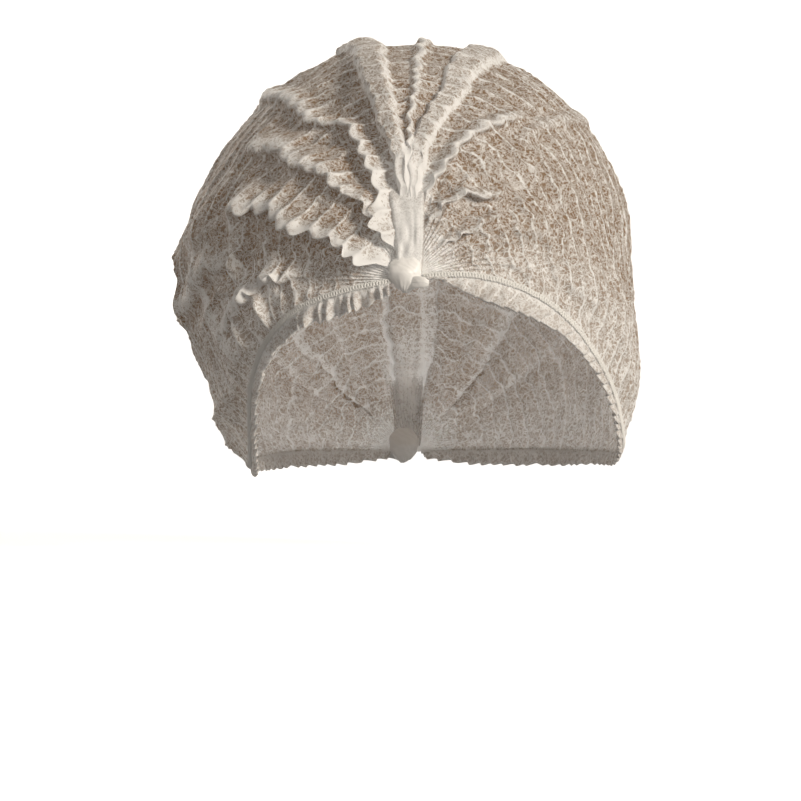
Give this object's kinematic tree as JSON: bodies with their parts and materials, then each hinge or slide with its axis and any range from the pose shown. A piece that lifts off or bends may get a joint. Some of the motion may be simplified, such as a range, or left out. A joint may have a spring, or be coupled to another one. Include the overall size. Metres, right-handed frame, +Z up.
{
  "type": "disposable pleated mob cap",
  "caption": "Disposable crimped hair cover, opened to its worn dome: a pleated nonwoven sheet fused at front and back, with an elastic ruffled hem down each side.",
  "frame": {"origin": "midway between the two welds, on the straight line that joins them, which is also the line both sides of the mouth swing about", "axes": "+X to the wearer's left, +Y from the forehead to the nape, +Z up through the crown; the mouth faces -Z and the line of the welds drops towards the nape"},
  "size_m": [0.2054, 0.2321, 0.1943],
  "materials": {
    "sheet": "crimped spunbonded polypropylene, thin enough to see through",
    "pleat": "the same sheet, doubled in a standing pleat",
    "ruffle": "the same sheet, doubled and gathered in a frill",
    "weld": "many layers fused together, waxy",
    "elastic": "covered with thread",
    "thread": "spun sewing thread"
  },
  "bodies": {
    "crown": {"left_panel_1": "sheet", "left_panel_2": "sheet", "right_panel_1": "sheet", "right_panel_2": "sheet", "left_centre_pleat": "pleat", "right_centre_pleat": "pleat", "front_gather": "pleat", "rear_gather": "pleat", "front_weld": "weld", "rear_weld": "weld", "front_tail": "weld", "rear_tail": "weld"},
    "left_side": {"left_panel_3": "sheet", "left_panel_4": "sheet", "left_panel_5": "sheet", "left_panel_6": "sheet", "left_panel_7": "sheet", "left_panel_8": "sheet", "left_panel_9": "sheet", "left_ruffle": "ruffle", "left_elastic": "elastic", "left_stitches": "thread"},
    "right_side": {"right_panel_3": "sheet", "right_panel_4": "sheet", "right_panel_5": "sheet", "right_panel_6": "sheet", "right_panel_7": "sheet", "right_panel_8": "sheet", "right_panel_9": "sheet", "right_temple_pleat": "pleat", "right_brow_pleat": "pleat", "right_ruffle": "ruffle", "right_elastic": "elastic", "right_stitches": "thread"}
  },
  "joints": [
    {"name": "left_mouth_swing", "type": "hinge", "parent": "crown", "child": "left_side", "pos_m": [0, 0, 0], "axis": [0, 0.9397, -0.342], "range_deg": [-12, 28], "stiffness_Nm_per_rad": 0.2},
    {"name": "right_mouth_swing", "type": "hinge", "parent": "crown", "child": "right_side", "pos_m": [0, 0, 0], "axis": [0, -0.9397, 0.342], "range_deg": [-12, 28], "stiffness_Nm_per_rad": 0.2}
  ]
}
